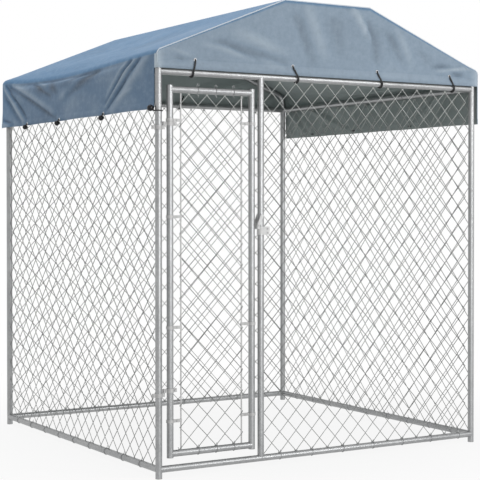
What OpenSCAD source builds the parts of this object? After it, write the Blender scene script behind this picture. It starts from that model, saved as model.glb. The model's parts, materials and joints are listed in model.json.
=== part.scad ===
// Outdoor dog kennel run: a square frame of galvanised tube with chain-link walls,
// a hinged gate with a fork latch, and a tarpaulin roof over bent roof tubes.
// Origin at the middle of the floor, +X to the right along the front, +Y to the rear.

/* [Run] */
// Distance between the corner post axes, left to right
run_w = 1900; // [1600:10:2400]
// Distance between the corner post axes, front to rear
run_d = 1900; // [1600:10:2400]
// Length of the post feet below the bottom rails
foot_h = 27.5; // [15:0.5:60]
// Outer diameter of the posts and rails
tube_d = 32; // [28:0.5:36]
// Wall of every tube
tube_wall = 1.5; // [1:0.1:2.5]

/* [Roof frame] */
// Height from the top rail axis to the eave, where post and rafter axes meet
eave_rise = 85.5; // [75:0.5:140]
// Height from the eave to the flat top of the roof
ridge_rise = 282; // [150:1:400]
// Width of the flat top between its two break lines
ridge_w = 510; // [300:10:900]
// Bend radius of the roof tubes, on their axis
bend_r = 70; // [60:1:80]

/* [Gate] */
// Distance from the left post axis to the gate's hinge stile axis
hinge_gap = 60; // [57:0.5:66]
// Width of the gate between its stile axes
gate_w = 449; // [380:1:620]
// Distance from the gate's latch stile axis to the door post axis
latch_gap = 52; // [50:0.5:62]
// Height of the gate's lower end above the floor
gate_z = 93; // [75:1:140]
// Height of the gate
gate_h = 1756; // [1500:1:2000]
// Distance from the gate's upper end to the top rail axis above it
gate_head = 63; // [45:1:120]
// Outer diameter of the gate tubes
gate_tube_d = 32; // [28:0.5:34]
// Length of the stile ends past the gate's cross tubes
stile_over = 3.5; // [1:0.5:10]
// Distance from a stile axis to the axis of its tension bar
bar_off = 58; // [48:1:75]
// Width of a tension bar
bar_w = 6; // [5:0.5:14]
// Thickness of a tension bar
bar_t = 4; // [3:0.5:6]
// Height of the tension straps
band_h = 14; // [10:0.5:18]
// Thickness of the straps and bands
band_t = 2.5; // [2:0.1:3]
// Places of the lower straps on the hinge stile, as shares of the gate's height
hinge_strap_share = [0.0985, 0.35, 0.6475]; // [0.02:0.0005:0.7]
// Places of the straps on the latch stile, as shares of the gate's height
latch_strap_share = [0.098, 0.35, 0.904]; // [0.02:0.0005:0.98]

/* [Hinges] */
// Height of the lower hinge's post band, above the gate's lower end
hinge_low = 300; // [220:1:500]
// Depth of the upper hinge's post band, below the gate's upper end
hinge_drop = 200; // [120:1:500]
// Height of the hinge bands
hinge_band_h = 18; // [12:0.5:24]
// Distance from the left post axis to the hinge pin axis
pin_off = 28; // [26.5:0.5:29]
// Diameter of the hinge pins
pin_d = 9; // [7:0.5:10]
// Wall of the eye round a hinge pin
eye_wall = 3; // [2.5:0.1:3.5]
// Length of the clamping ears on hinge bands
ear_l = 16; // [12:0.5:20]

/* [Latch] */
// Height of the latch pivot above the floor
latch_z = 1186; // [900:1:1400]
// Distance from the door post axis to the latch pivot
pivot_off = 23; // [22:0.5:24]
// Diameter of the latch pivot pin
pivot_d = 6; // [5:0.5:7]
// Length of the fork tines from the pivot
fork_l = 58; // [55:1:85]
// Width of the fork tines
fork_w = 16; // [9:0.5:18]
// Thickness of the fork tines
fork_t = 3; // [2:0.1:4]
// Lean of the raised fork towards the door post, from upright
fork_lean = 22; // [8:1:24]
// Height of the latch clamp on the door post
clamp_h = 41; // [24:1:50]
// Length of the latch clamp's flange
flange_l = 24; // [16:1:30]

/* [Mesh] */
// Diameter of the mesh wires
wire_d = 2.8; // [2:0.1:3.2]
// Columns of diamonds across a full wall
wall_cols = 12; // [8:1:12]
// Columns of diamonds across the fixed front panel
front_cols = 8; // [5:1:10]
// Rows of diamonds up a wall
wall_rows = 12; // [8:1:12]
// Columns of diamonds across the gate
gate_cols = 3; // [2:1:4]
// Rows of diamonds up the gate
gate_rows = 17; // [10:1:18]

/* [Canopy] */
// Thickness of the canopy solid
sheet_t = 2; // [1.5:0.1:4]
// Depth of the side valance hem below the top rail axis
valance_drop = 177; // [120:1:200]
// Height of the gable hem above the top rail axis
gable_hem_rise = 14; // [8:1:22]
// Sag of the sheet between the roof tubes
sheet_sag = 12; // [0:1:20]
// Depth of the folds in the gables and valances
fold_depth = 4; // [0:0.5:5]
// Rounding of the canopy's gable edges
edge_round = 6; // [3:0.5:6]
// Radius of the canopy's sewn fold along the eaves, tighter than the bend of the tube under it
fold_r = 14; // [8:1:30]
// Set-back of the left valance's front end and the right one's rear end from the gable's face
valance_back = 24; // [18:1:42]
// Height of the gable eyelets above the top rail axis
eyelet_rise = 60; // [55:1:66]
// Outer diameter of the eyelets
eyelet_d = 16; // [14:0.5:18]
// Diameter of the elastic cords
cord_d = 6; // [4:0.5:6]
// Sideways lean of a gable cord from its eyelet to the rail
cord_lean = 34; // [0:1:36]
// Diameter of the cord balls
ball_d = 26; // [20:1:30]

/* [Hidden] */
// Clearance between pieces that are seated on each other
seat = 0.25;
// Clearance between the canopy and what it lies over
sheet_clear = 0.5;
// Extra length that carries a cut through a surface
cut = 1;
// Overlap that fuses two shapes of one piece
bite = 0.01;
tube_r = tube_d / 2;
gate_tube_r = gate_tube_d / 2;
post_x = run_w / 2;
post_y = run_d / 2;
bottom_rail_z = foot_h + tube_r;
top_rail_z = gate_z + gate_h + gate_head;
eave_z = top_rail_z + eave_rise;
ridge_z = eave_z + ridge_rise;
ridge_x = ridge_w / 2;
slope = atan2(ridge_rise, post_x - ridge_x);
eave_bend = 90 - slope;
eave_tangent = bend_r * tan(eave_bend / 2);
ridge_tangent = bend_r * tan(slope / 2);
bend_z = eave_z - eave_tangent;
rafter_axis_l = norm([ridge_rise, post_x - ridge_x]);
hinge_stile_x = -post_x + hinge_gap;
latch_stile_x = hinge_stile_x + gate_w;
door_post_x = latch_stile_x + latch_gap;
gate_mid_x = (hinge_stile_x + latch_stile_x) / 2;
gate_low_z = gate_z + stile_over + gate_tube_r;
gate_high_z = gate_z + gate_h - stile_over - gate_tube_r;
gate_bar_l = gate_high_z - gate_low_z - gate_tube_d - 2 * seat;
gate_net_w = gate_w - 2 * bar_off - bar_w;
hinge_z = [gate_z + hinge_low, gate_z + gate_h - hinge_drop];
collar_rise = hinge_band_h + 2 * seat;
// The topmost strap on the hinge stile sits just above the upper hinge's gate band
strap_gap = 1.5;
hinge_strap_z = concat([for (s = hinge_strap_share) gate_z + s * gate_h],
    [hinge_z[1] + collar_rise + (hinge_band_h + band_h) / 2 + strap_gap]);
latch_strap_z = [for (s = latch_strap_share) gate_z + s * gate_h];
bolt_d = 6;
bolt_head_d = 10;
bolt_head_h = 3;
latch_x = door_post_x - pivot_off;
lug_wall = 3;
lug_r = pivot_d / 2 + lug_wall;
// Room between a fork tine and the gate's stile, and between the bridge and what it passes
fork_clear = 2;
bridge_clear = 1;
fork_inner = gate_tube_r + fork_clear;
bridge_near = lug_r + bridge_clear;
bridge_l = latch_gap - pivot_off - gate_tube_r - bridge_near - bridge_clear;
bridge_t = 3;
layer_off = (wire_d + seat) / 2;
wall_low_z = bottom_rail_z + tube_r;
wall_net_h = top_rail_z - tube_r - wall_low_z;
front_net_w = post_x - door_post_x - tube_d;
front_mid_x = (post_x + door_post_x) / 2;
sheet_in = tube_r + sheet_clear;
sheet_out = sheet_in + sheet_t;
gable_hem_z = top_rail_z + gable_hem_rise;
valance_z = top_rail_z - valance_drop;
cord_r = cord_d / 2;
ball_gap = 0.25;
ball_x = post_x + sheet_out + ball_gap + ball_d / 2;
// Depth of a ball's centre below the hem, and room between the hem and the cord under it
ball_drop = 3;
cord_room = 0.25;
ball_z = valance_z - ball_drop;
side_cord_z = valance_z - cord_r - cord_room;
// Places of the balls along a side, as shares of its length from the middle; the first is the left corner's
ball_share = [-0.4947, -0.2066, 0.0864, 0.3244];
ball_y = [for (s = ball_share) s * run_d];
// Places of the gable cords' eyelets: one over the gate as a share of its width,
// and three over the front mesh, in its columns
gate_eyelet_share = 0.278;
mesh_eyelet_cols = [0.97, 4.13, 7.06];
front_cell = front_net_w / front_cols;
eyelet_x = concat([hinge_stile_x + gate_eyelet_share * gate_w],
    [for (c = mesh_eyelet_cols) door_post_x + tube_r + c * front_cell]);
// Share of the sideways lean that each of those cords has
lean_share = [-0.25, 1, 1, 1];
eyelet_t = 1;
steel = [0.70, 0.72, 0.73];
zinc = [0.82, 0.83, 0.83];
$fn = 48;

// Shared shapes

// A tube standing on the origin
module tube(length, outer_d) {
    difference() {
        cylinder(d = outer_d, h = length);
        translate([0, 0, -cut]) cylinder(d = outer_d - 2 * tube_wall, h = length + 2 * cut);
    }
}

// Puts a shape made for the right rear corner at any corner
module at_corner(side_x, side_y) {
    mirror([side_x < 0 ? 1 : 0, 0, 0]) mirror([0, side_y < 0 ? 1 : 0, 0])
        translate([post_x, post_y, 0]) children();
}

// A bolt along Y with a six-sided head in front and a nut behind, round a stack of a given thickness
module bolt(stack) {
    rotate([90, 0, 0]) {
        cylinder(d = bolt_d, h = stack + 2 * (bolt_head_h + seat), center = true);
        for (side = [-1, 1])
            translate([0, 0, side * (stack / 2 + seat + bolt_head_h / 2)])
                cylinder(d = bolt_head_d, h = bolt_head_h, center = true, $fn = 6);
    }
}

// A clearance hole for that bolt
module bolt_hole(stack) {
    rotate([90, 0, 0]) cylinder(d = bolt_d + 2 * seat, h = stack + 2 * cut, center = true);
}

// A frame rail along X, centred, coped round its posts and mitred off from the rails beside it
module rail(length) {
    difference() {
        rotate([0, 90, 0]) translate([0, 0, -length / 2]) tube(length, tube_d);
        for (side = [-1, 1])
            translate([side * length / 2, 0, 0]) {
                cylinder(d = tube_d + 2 * seat, h = 2 * tube_d, center = true);
                mirror([side > 0 ? 1 : 0, 0, 0]) rotate([0, 0, 45])
                    translate([-tube_d, -seat, -tube_d]) cube(2 * tube_d);
            }
    }
}

// A flat net on the XZ plane, standing on the X axis: two layers of slanting wires
module net(width, height, cols, rows) {
    col = width / cols;
    rise = height / rows / col;
    tilt = atan(rise);
    inset = seat + wire_d / 2;
    for (layer = [-1, 1], k = [-rows : cols - 1]) {
        foot_x = -width / 2 + (k + 0.5) * col;
        x_from = max(-width / 2 + inset, foot_x + inset / rise);
        x_to = min(width / 2 - inset, foot_x + (height - inset) / rise);
        mirror([layer < 0 ? 1 : 0, 0, 0])
            translate([x_from, layer * layer_off, (x_from - foot_x) * rise])
                rotate([0, 90 - tilt, 0])
                    cylinder(d = wire_d, h = (x_to - x_from) / cos(tilt), $fn = 6);
    }
}

// Frame tubes

module corner_post(side_x, side_y) {
    color(steel) at_corner(side_x, side_y) tube(bend_z - seat, tube_d);
}
module post_front_left() { corner_post(-1, -1); }
module post_front_right() { corner_post(1, -1); }
module post_rear_left() { corner_post(-1, 1); }
module post_rear_right() { corner_post(1, 1); }

module door_post() {
    color(steel) difference() {
        translate([door_post_x, -post_y, bottom_rail_z]) tube(top_rail_z - bottom_rail_z, tube_d);
        for (z = [bottom_rail_z, top_rail_z])
            translate([door_post_x, -post_y, z]) rotate([0, 90, 0])
                cylinder(d = tube_d + 2 * seat, h = 2 * tube_d, center = true);
    }
}

module rail_front(z) { color(steel) translate([0, -post_y, z]) rail(run_w); }
module rail_rear(z) { color(steel) translate([0, post_y, z]) rotate([0, 0, 180]) rail(run_w); }
module rail_left(z) { color(steel) translate([-post_x, 0, z]) rotate([0, 0, -90]) rail(run_d); }
module rail_right(z) { color(steel) translate([post_x, 0, z]) rotate([0, 0, 90]) rail(run_d); }
module top_rail_front() { rail_front(top_rail_z); }
module top_rail_rear() { rail_rear(top_rail_z); }
module top_rail_left() { rail_left(top_rail_z); }
module top_rail_right() { rail_right(top_rail_z); }
module bottom_rail_front() { rail_front(bottom_rail_z); }
module bottom_rail_rear() { rail_rear(bottom_rail_z); }
module bottom_rail_left() { rail_left(bottom_rail_z); }
module bottom_rail_right() { rail_right(bottom_rail_z); }

// Roof tubes

// A bent stretch of tube in the XY plane, from the X axis round the origin
module bend(angle) {
    rotate_extrude(angle = angle) translate([bend_r, 0]) difference() {
        circle(d = tube_d);
        circle(d = tube_d - 2 * tube_wall);
    }
}

// The bend that turns a post into its rafter
module eave_elbow(side_x, side_y) {
    color(steel) at_corner(side_x, side_y)
        translate([-bend_r, 0, bend_z]) rotate([90, 0, 0]) bend(eave_bend);
}
module eave_elbow_front_left() { eave_elbow(-1, -1); }
module eave_elbow_front_right() { eave_elbow(1, -1); }
module eave_elbow_rear_left() { eave_elbow(-1, 1); }
module eave_elbow_rear_right() { eave_elbow(1, 1); }

// The straight tube up the slope, between an eave elbow and a ridge elbow
module rafter(side_x, side_y) {
    start = eave_tangent + seat;
    color(steel) at_corner(side_x, side_y)
        translate([-start * cos(slope), 0, eave_z + start * sin(slope)]) rotate([0, -eave_bend, 0])
            tube(rafter_axis_l - eave_tangent - ridge_tangent - 2 * seat, tube_d);
}
module rafter_front_left() { rafter(-1, -1); }
module rafter_front_right() { rafter(1, -1); }
module rafter_rear_left() { rafter(-1, 1); }
module rafter_rear_right() { rafter(1, 1); }

// The two bends at the break lines of a gable
module ridge_elbows(side_y) {
    color(steel) for (side = [0, 1])
        mirror([side, 0, 0]) translate([ridge_x - ridge_tangent, side_y * post_y, ridge_z - bend_r])
            rotate([90, 0, 0]) rotate([0, 0, 90 - slope]) bend(slope);
}
module ridge_elbows_front() { ridge_elbows(-1); }
module ridge_elbows_rear() { ridge_elbows(1); }

// The level bar between two ridge elbows
module ridge_bar(side_y) {
    half_l = ridge_x - ridge_tangent - seat;
    color(steel) translate([-half_l, side_y * post_y, ridge_z]) rotate([0, 90, 0])
        tube(2 * half_l, tube_d);
}
module ridge_bar_front() { ridge_bar(-1); }
module ridge_bar_rear() { ridge_bar(1); }

// A purlin between the bends of the two ridge elbows on one side, coped to them
module purlin(side_x) {
    drop = bend_r / cos(slope / 2) - bend_r;
    ease = tube_r * tube_r / bend_r / 4;
    color(steel) mirror([side_x < 0 ? 1 : 0, 0, 0])
        translate([ridge_x - drop * sin(slope / 2), 0, ridge_z - drop * cos(slope / 2)]) difference() {
            translate([0, post_y, 0]) rotate([90, 0, 0]) tube(run_d, tube_d);
            for (side_y = [-1, 1])
                translate([0, side_y * post_y, 0]) rotate([0, 90 + slope / 2, 0])
                    cylinder(d = tube_d + 2 * (seat + ease), h = 4 * tube_d, center = true);
        }
}
module purlin_left() { purlin(-1); }
module purlin_right() { purlin(1); }

// Wall meshes

module mesh_front() {
    color(zinc) translate([front_mid_x, -post_y, wall_low_z])
        net(front_net_w, wall_net_h, front_cols, wall_rows);
}
module mesh_rear() {
    color(zinc) translate([0, post_y, wall_low_z]) net(run_w - tube_d, wall_net_h, wall_cols, wall_rows);
}
module side_mesh(side_x) {
    color(zinc) translate([side_x * post_x, 0, wall_low_z]) rotate([0, 0, 90])
        net(run_d - tube_d, wall_net_h, wall_cols, wall_rows);
}
module mesh_left() { side_mesh(-1); }
module mesh_right() { side_mesh(1); }

// Gate

module gate_stile(x) {
    color(steel) translate([x, -post_y, gate_z]) tube(gate_h, gate_tube_d);
}
module gate_hinge_stile() { gate_stile(hinge_stile_x); }
module gate_latch_stile() { gate_stile(latch_stile_x); }

// A gate cross tube, coped to the two stiles
module gate_tube(z) {
    color(steel) translate([gate_mid_x, -post_y, z]) difference() {
        rotate([0, 90, 0]) translate([0, 0, -gate_w / 2]) tube(gate_w, gate_tube_d);
        for (side = [-1, 1])
            translate([side * gate_w / 2, 0, 0])
                cylinder(d = gate_tube_d + 2 * seat, h = 2 * gate_tube_d, center = true);
    }
}
module gate_top_tube() { gate_tube(gate_high_z); }
module gate_bottom_tube() { gate_tube(gate_low_z); }

module gate_bar(x) {
    color(zinc) translate([x - bar_w / 2, -post_y - bar_t / 2, gate_low_z + gate_tube_r + seat])
        cube([bar_w, bar_t, gate_bar_l]);
}
module gate_bar_hinge_side() { gate_bar(hinge_stile_x + bar_off); }
module gate_bar_latch_side() { gate_bar(latch_stile_x - bar_off); }

module gate_mesh() {
    color(zinc) translate([gate_mid_x, -post_y, gate_low_z + gate_tube_r])
        net(gate_net_w, gate_high_z - gate_low_z - gate_tube_d, gate_cols, gate_rows);
}

// Width of a strap's slot over the tension bar, and of the strap outside it
strap_slot = bar_t + 2 * seat;
strap_stack = strap_slot + 2 * band_t;
// Distance from the stile axis to the strap's bolt
strap_bolt_x = (gate_tube_r + band_t + bar_off - bar_w / 2) / 2;

// A strap round a stile at the origin, reaching over the tension bar in +X
module strap() {
    reach = bar_off + bar_w / 2;
    difference() {
        union() {
            cylinder(r = gate_tube_r + seat + band_t, h = band_h, center = true);
            translate([0, -strap_stack / 2, -band_h / 2]) cube([reach, strap_stack, band_h]);
        }
        cylinder(r = gate_tube_r + seat, h = band_h + 2 * cut, center = true);
        translate([0, -strap_slot / 2, -band_h / 2 - cut])
            cube([reach + cut, strap_slot, band_h + 2 * cut]);
        translate([strap_bolt_x, 0, 0]) bolt_hole(strap_stack);
    }
}
module gate_straps_hinge_side() {
    color(zinc) for (z = hinge_strap_z) translate([hinge_stile_x, -post_y, z]) strap();
}
module gate_straps_latch_side() {
    color(zinc) for (z = latch_strap_z)
        translate([latch_stile_x, -post_y, z]) mirror([1, 0, 0]) strap();
}
module gate_strap_bolts() {
    color(zinc) {
        for (z = hinge_strap_z)
            translate([hinge_stile_x + strap_bolt_x, -post_y, z]) bolt(strap_stack);
        for (z = latch_strap_z)
            translate([latch_stile_x - strap_bolt_x, -post_y, z]) bolt(strap_stack);
    }
}

// Hinges

ear_slot = 2;
ear_stack = ear_slot + 2 * band_t;

// A band round a tube of a given radius at the origin, clamped by two ears in +X
module ear_band(radius) {
    outer = radius + seat + band_t;
    difference() {
        union() {
            cylinder(r = outer, h = hinge_band_h, center = true);
            translate([0, -ear_stack / 2, -hinge_band_h / 2])
                cube([outer + ear_l, ear_stack, hinge_band_h]);
            children();
        }
        cylinder(r = radius + seat, h = hinge_band_h + 2 * cut, center = true);
        translate([0, -ear_slot / 2, -hinge_band_h / 2 - cut])
            cube([outer + ear_l + cut, ear_slot, hinge_band_h + 2 * cut]);
        translate([outer + ear_l / 2, 0, 0]) bolt_hole(ear_stack);
    }
}

// The post's band, with its ears away from the gate and an upright pin beside the post
module hinge_post_band(z) {
    color(zinc) translate([-post_x, -post_y, z]) {
        mirror([1, 0, 0]) ear_band(tube_r)
            translate([-pin_off, -pin_d / 2, -hinge_band_h / 2])
                cube([pin_off - tube_r, pin_d, hinge_band_h]);
        translate([pin_off, 0, -hinge_band_h / 2]) cylinder(d = pin_d, h = hinge_band_h + collar_rise);
    }
}
module hinge_post_band_bottom() { hinge_post_band(hinge_z[0]); }
module hinge_post_band_top() { hinge_post_band(hinge_z[1]); }
module hinge_post_bolts() {
    ear_x = -post_x - tube_r - seat - band_t - ear_l / 2;
    color(zinc) for (z = hinge_z) translate([ear_x, -post_y, z]) bolt(ear_stack);
}

// The gate's band, with an eye that turns on the post's pin
module hinge_gate_band(z) {
    reach = hinge_gap - pin_off;
    color(zinc) translate([hinge_stile_x, -post_y, z + collar_rise]) difference() {
        ear_band(gate_tube_r) {
            translate([-reach, -pin_d / 2, -hinge_band_h / 2])
                cube([reach - gate_tube_r, pin_d, hinge_band_h]);
            translate([-reach, 0, 0])
                cylinder(d = pin_d + 2 * (seat + eye_wall), h = hinge_band_h, center = true);
        }
        translate([-reach, 0, 0])
            cylinder(d = pin_d + 2 * seat, h = hinge_band_h + 2 * cut, center = true);
    }
}
module hinge_gate_band_bottom() { hinge_gate_band(hinge_z[0]); }
module hinge_gate_band_top() { hinge_gate_band(hinge_z[1]); }
module hinge_gate_bolts() {
    ear_x = hinge_stile_x + gate_tube_r + seat + band_t + ear_l / 2;
    color(zinc) for (z = hinge_z) translate([ear_x, -post_y, z + collar_rise]) bolt(ear_stack);
}

// Latch

clamp_z = latch_z - lug_r - clamp_h / 2;
// The flange stands in front of the mesh, with room for its nuts
flange_y = ear_stack / 2 + bolt_head_h + 2 * layer_off + wire_d / 2 + seat;
clamp_bolt_x = tube_r + seat + band_t + flange_l / 2;
lug_t = 2 * (fork_inner - seat);
pivot_stack = 2 * (fork_inner + fork_t);

// The clamp on the door post: two flanges on the right, the pivot lug on the left
module latch_clamp() {
    outer = tube_r + seat + band_t;
    color(zinc) translate([door_post_x, -post_y, clamp_z]) difference() {
        union() {
            cylinder(r = outer, h = clamp_h, center = true);
            translate([0, -flange_y - ear_stack / 2, -clamp_h / 2])
                cube([outer + flange_l, ear_stack, clamp_h]);
            translate([-pivot_off - lug_r, -lug_t / 2, clamp_h / 2 - 2 * lug_r])
                cube([pivot_off - tube_r + lug_r, lug_t, 2 * lug_r]);
            translate([-pivot_off, 0, latch_z - clamp_z]) rotate([90, 0, 0])
                cylinder(r = lug_r, h = lug_t, center = true);
            translate([-pivot_off - lug_r, -lug_t / 2, clamp_h / 2 - bite])
                cube([2 * lug_r, lug_t, lug_r + bite]);
        }
        cylinder(r = tube_r + seat, h = clamp_h + 4 * lug_r, center = true);
        translate([0, -flange_y - ear_slot / 2, -clamp_h / 2 - cut])
            cube([outer + flange_l + cut, ear_slot, clamp_h + 2 * cut]);
        translate([-pivot_off, 0, latch_z - clamp_z]) rotate([90, 0, 0])
            cylinder(d = pivot_d + 2 * seat, h = lug_t + 2 * cut, center = true);
        for (side = [-1, 1])
            translate([clamp_bolt_x, -flange_y, side * clamp_h / 4]) bolt_hole(ear_stack);
    }
}
module latch_clamp_bolts() {
    color(zinc) for (side = [-1, 1])
        translate([door_post_x + clamp_bolt_x, -post_y - flange_y, clamp_z + side * clamp_h / 4])
            bolt(ear_stack);
}

// The fork, raised and leaning on the door post side: two tines joined by a bridge
module latch_fork() {
    color(zinc) translate([latch_x, -post_y, latch_z]) rotate([0, fork_lean, 0]) difference() {
        union() {
            for (side = [-1, 1])
                translate([0, side * (fork_inner + fork_t / 2), 0]) {
                    rotate([90, 0, 0]) cylinder(d = fork_w, h = fork_t, center = true);
                    translate([-fork_w / 2, -fork_t / 2, 0]) cube([fork_w, fork_t, fork_l]);
                }
            translate([-bridge_t / 2, -fork_inner - bite, bridge_near])
                cube([bridge_t, 2 * (fork_inner + bite), bridge_l]);
        }
        rotate([90, 0, 0]) cylinder(d = pivot_d + 2 * seat, h = pivot_stack + 2 * cut, center = true);
    }
}
module latch_pivot_pin() {
    color(zinc) translate([latch_x, -post_y, latch_z]) rotate([90, 0, 0]) {
        cylinder(d = pivot_d, h = pivot_stack + 2 * (seat + bolt_head_h), center = true);
        for (side = [-1, 1])
            translate([0, 0, side * (pivot_stack / 2 + seat + bolt_head_h / 2)])
                cylinder(d = bolt_head_d, h = bolt_head_h, center = true);
    }
}

// Canopy

// The roof line from the middle out to the right eave: [x, z, outward x, outward z, sag].
// At the eave the sheet is sewn to a tight fold that stands a little off the bent tube.
slope_steps = 3;
eave_steps = 4;
eave_stations = [4, 3, 1, 0];
fold_tangent = fold_r * tan(eave_bend / 2);
fold_z = eave_z - fold_tangent;
slope_to = [post_x - fold_tangent * cos(slope), eave_z + fold_tangent * sin(slope)];
half_line = concat(
    [[ridge_x, ridge_z, tan(slope / 2), 1, 0]],
    [for (s = [1 : slope_steps - 1])
        let (p = [ridge_x, ridge_z] + (slope_to - [ridge_x, ridge_z]) * s / slope_steps)
        [p.x, p.y, sin(slope), cos(slope), sheet_sag]],
    [for (s = eave_stations)
        let (turn = eave_bend * s / eave_steps, reach = s % 2 == 1 ? 1 / cos(eave_bend / eave_steps) : 1)
        [post_x - fold_r + fold_r * reach * cos(turn), fold_z + fold_r * reach * sin(turn),
            reach * cos(turn), reach * sin(turn), 0]]);
half_n = len(half_line);
roof_line = concat(
    [for (s = [half_n - 1 : -1 : 0])
        let (h = half_line[s]) [-h[0], h[1], -h[2], h[3], h[4]]],
    [[0, ridge_z, 0, 1, sheet_sag / 2]],
    half_line);
// Stations along the depth: each side cord pulls the valance in, and it billows halfway between two
edge_in = 8;
depth_line = concat(
    [-post_y - sheet_out, -post_y - sheet_out + edge_in],
    [for (s = [0 : len(ball_y) - 1]) each (s == 0 ? [] : [(ball_y[s - 1] + ball_y[s]) / 2, ball_y[s]])],
    [(ball_y[len(ball_y) - 1] + post_y) / 2, post_y + sheet_out - edge_in, post_y + sheet_out]);
depth_billow = [0, 0, 1, 0, 1, 0, 1, 0, 1, 0, 0];
// Rows down the canopy: shares of the gable's height, then shares of the valance below it
gable_share = [0, 0.2, 0.4, 0.6, 1];
gable_billow = [0, 0.7, 1, 0, 0];
valance_share = [1 / 3, 2 / 3, 1];
rows_n = len(gable_share) + len(valance_share) - 1;
cols_n = len(roof_line) - 1;
depth_n = len(depth_line) - 1;

// Height of a row under a roof point of a given height
function row_z(top, j, low) = j < len(gable_share)
    ? top + (gable_hem_z - top) * gable_share[j]
    : gable_hem_z + (low - gable_hem_z) * valance_share[j - len(gable_share)];
// Outward shift of a valance row, most at the hem
function side_billow(j, k) = j < len(gable_share) ? 0
    : fold_depth * valance_share[j - len(gable_share)] * depth_billow[k];
// Outward shift of a gable row, in every other column
function end_billow(i, j) = j < len(gable_share) && i % 2 == 0 && i > 2 && i < cols_n - 2
    ? fold_depth * gable_billow[j] : 0;
// A point of the sheet's outer face, or of the face a depth inside it
function sheet_point(i, j, k, depth, low) =
    let (end = k == 0 || k == depth_n,
        line = roof_line[i],
        off = sheet_out - depth - (end ? edge_round : 0),
        sag = line[4] * cos(90 * depth_line[k] / (post_y + sheet_out)),
        x = line[0] + line[2] * off,
        top = line[1] + line[3] * off - sag,
        edge = i == 0 || i == cols_n,
        y_sign = k == 0 ? -1 : 1)
    [x + (edge && !end ? sign(x) * side_billow(j, k) : 0),
        depth_line[k] + (end ? y_sign * (end_billow(i, j) - depth) : 0),
        row_z(top, j, low)];

// A closed block whose top and walls follow the sheet, down to a given height
module sheet_block(depth, low) {
    function at(i, j, k) = (i * (rows_n + 1) + j) * (depth_n + 1) + k;
    points = [for (i = [0 : cols_n], j = [0 : rows_n], k = [0 : depth_n])
        sheet_point(i, j, k, depth, low)];
    function quad(a, b, c, d) = [[a, b, c], [a, c, d]];
    r = rows_n;
    c = cols_n;
    d = depth_n;
    faces = concat(
        [for (i = [0 : c - 1], k = [0 : d - 1])
            each quad(at(i, 0, k), at(i, 0, k + 1), at(i + 1, 0, k + 1), at(i + 1, 0, k))],
        [for (i = [0 : c - 1], k = [0 : d - 1])
            each quad(at(i, r, k), at(i + 1, r, k), at(i + 1, r, k + 1), at(i, r, k + 1))],
        [for (i = [0 : c - 1], j = [0 : r - 1])
            each quad(at(i, j, 0), at(i + 1, j, 0), at(i + 1, j + 1, 0), at(i, j + 1, 0))],
        [for (i = [0 : c - 1], j = [0 : r - 1])
            each quad(at(i, j, d), at(i, j + 1, d), at(i + 1, j + 1, d), at(i + 1, j, d))],
        [for (j = [0 : r - 1], k = [0 : d - 1])
            each quad(at(0, j, k), at(0, j + 1, k), at(0, j + 1, k + 1), at(0, j, k + 1))],
        [for (j = [0 : r - 1], k = [0 : d - 1])
            each quad(at(c, j, k), at(c, j, k + 1), at(c, j + 1, k + 1), at(c, j + 1, k))]);
    polyhedron(points, faces);
}

module canopy() {
    open_x = post_x + sheet_in - edge_round;
    open_h = gable_hem_z - valance_z + cut;
    outer_x = post_x + sheet_out + fold_depth + cut;
    color([0.45, 0.58, 0.69]) difference() {
        sheet_block(0, valance_z);
        sheet_block(sheet_t, valance_z - cut);
        at_gables() translate([0, -sheet_out, valance_z - cut]) {
            translate([-open_x, -tube_d / 2, 0]) cube([2 * open_x, tube_d, open_h]);
            translate([-outer_x, -cut, 0]) cube([outer_x, valance_back + cut, open_h]);
        }
    }
}

// Puts a shape made for the front gable at both gables
module at_gables() {
    for (turn = [0, 180]) rotate([0, 0, turn]) translate([0, -post_y, 0]) children();
}

module canopy_eyelets() {
    color("silver") at_gables() for (x = eyelet_x)
        translate([x, -sheet_out - seat, top_rail_z + eyelet_rise]) rotate([90, 0, 0]) difference() {
            cylinder(d = eyelet_d, h = eyelet_t);
            translate([0, 0, -cut]) cylinder(d = eyelet_d / 2, h = eyelet_t + 2 * cut);
        }
}

// The route of a gable cord: down the front of the gable, under the rail and up behind the gable
cord_front = sheet_out + eyelet_t + 2 * seat + cord_r;
turn_step = 30;
cord_turn_r = (tube_r + seat + cord_r) / cos(turn_step / 2);
// Heights over and under the eyelet where the cord starts and bends, and its rise over hem and rail
cord_over = 4;
cord_under = 7;
hem_over = 4;
rail_over = 9;
// Shares of the lean that the cord has at the hem and behind the eyelet
hem_lean = 0.6;
back_lean = 0.1;
function cord_route(lean) = concat(
    [[0, -cord_front, eyelet_rise + cord_over], [0, -cord_front, eyelet_rise - cord_under],
        [hem_lean * lean, -cord_front, gable_hem_rise + hem_over]],
    [for (turn = [0 : turn_step : 180]) [lean, -cord_turn_r * cos(turn), -cord_turn_r * sin(turn)]],
    [[lean, cord_turn_r, rail_over],
        [back_lean * lean, -sheet_in + cord_r + sheet_clear, eyelet_rise - cord_under],
        [0, -sheet_in + cord_r + seat, eyelet_rise]]);
cord_sides = 8;

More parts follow.
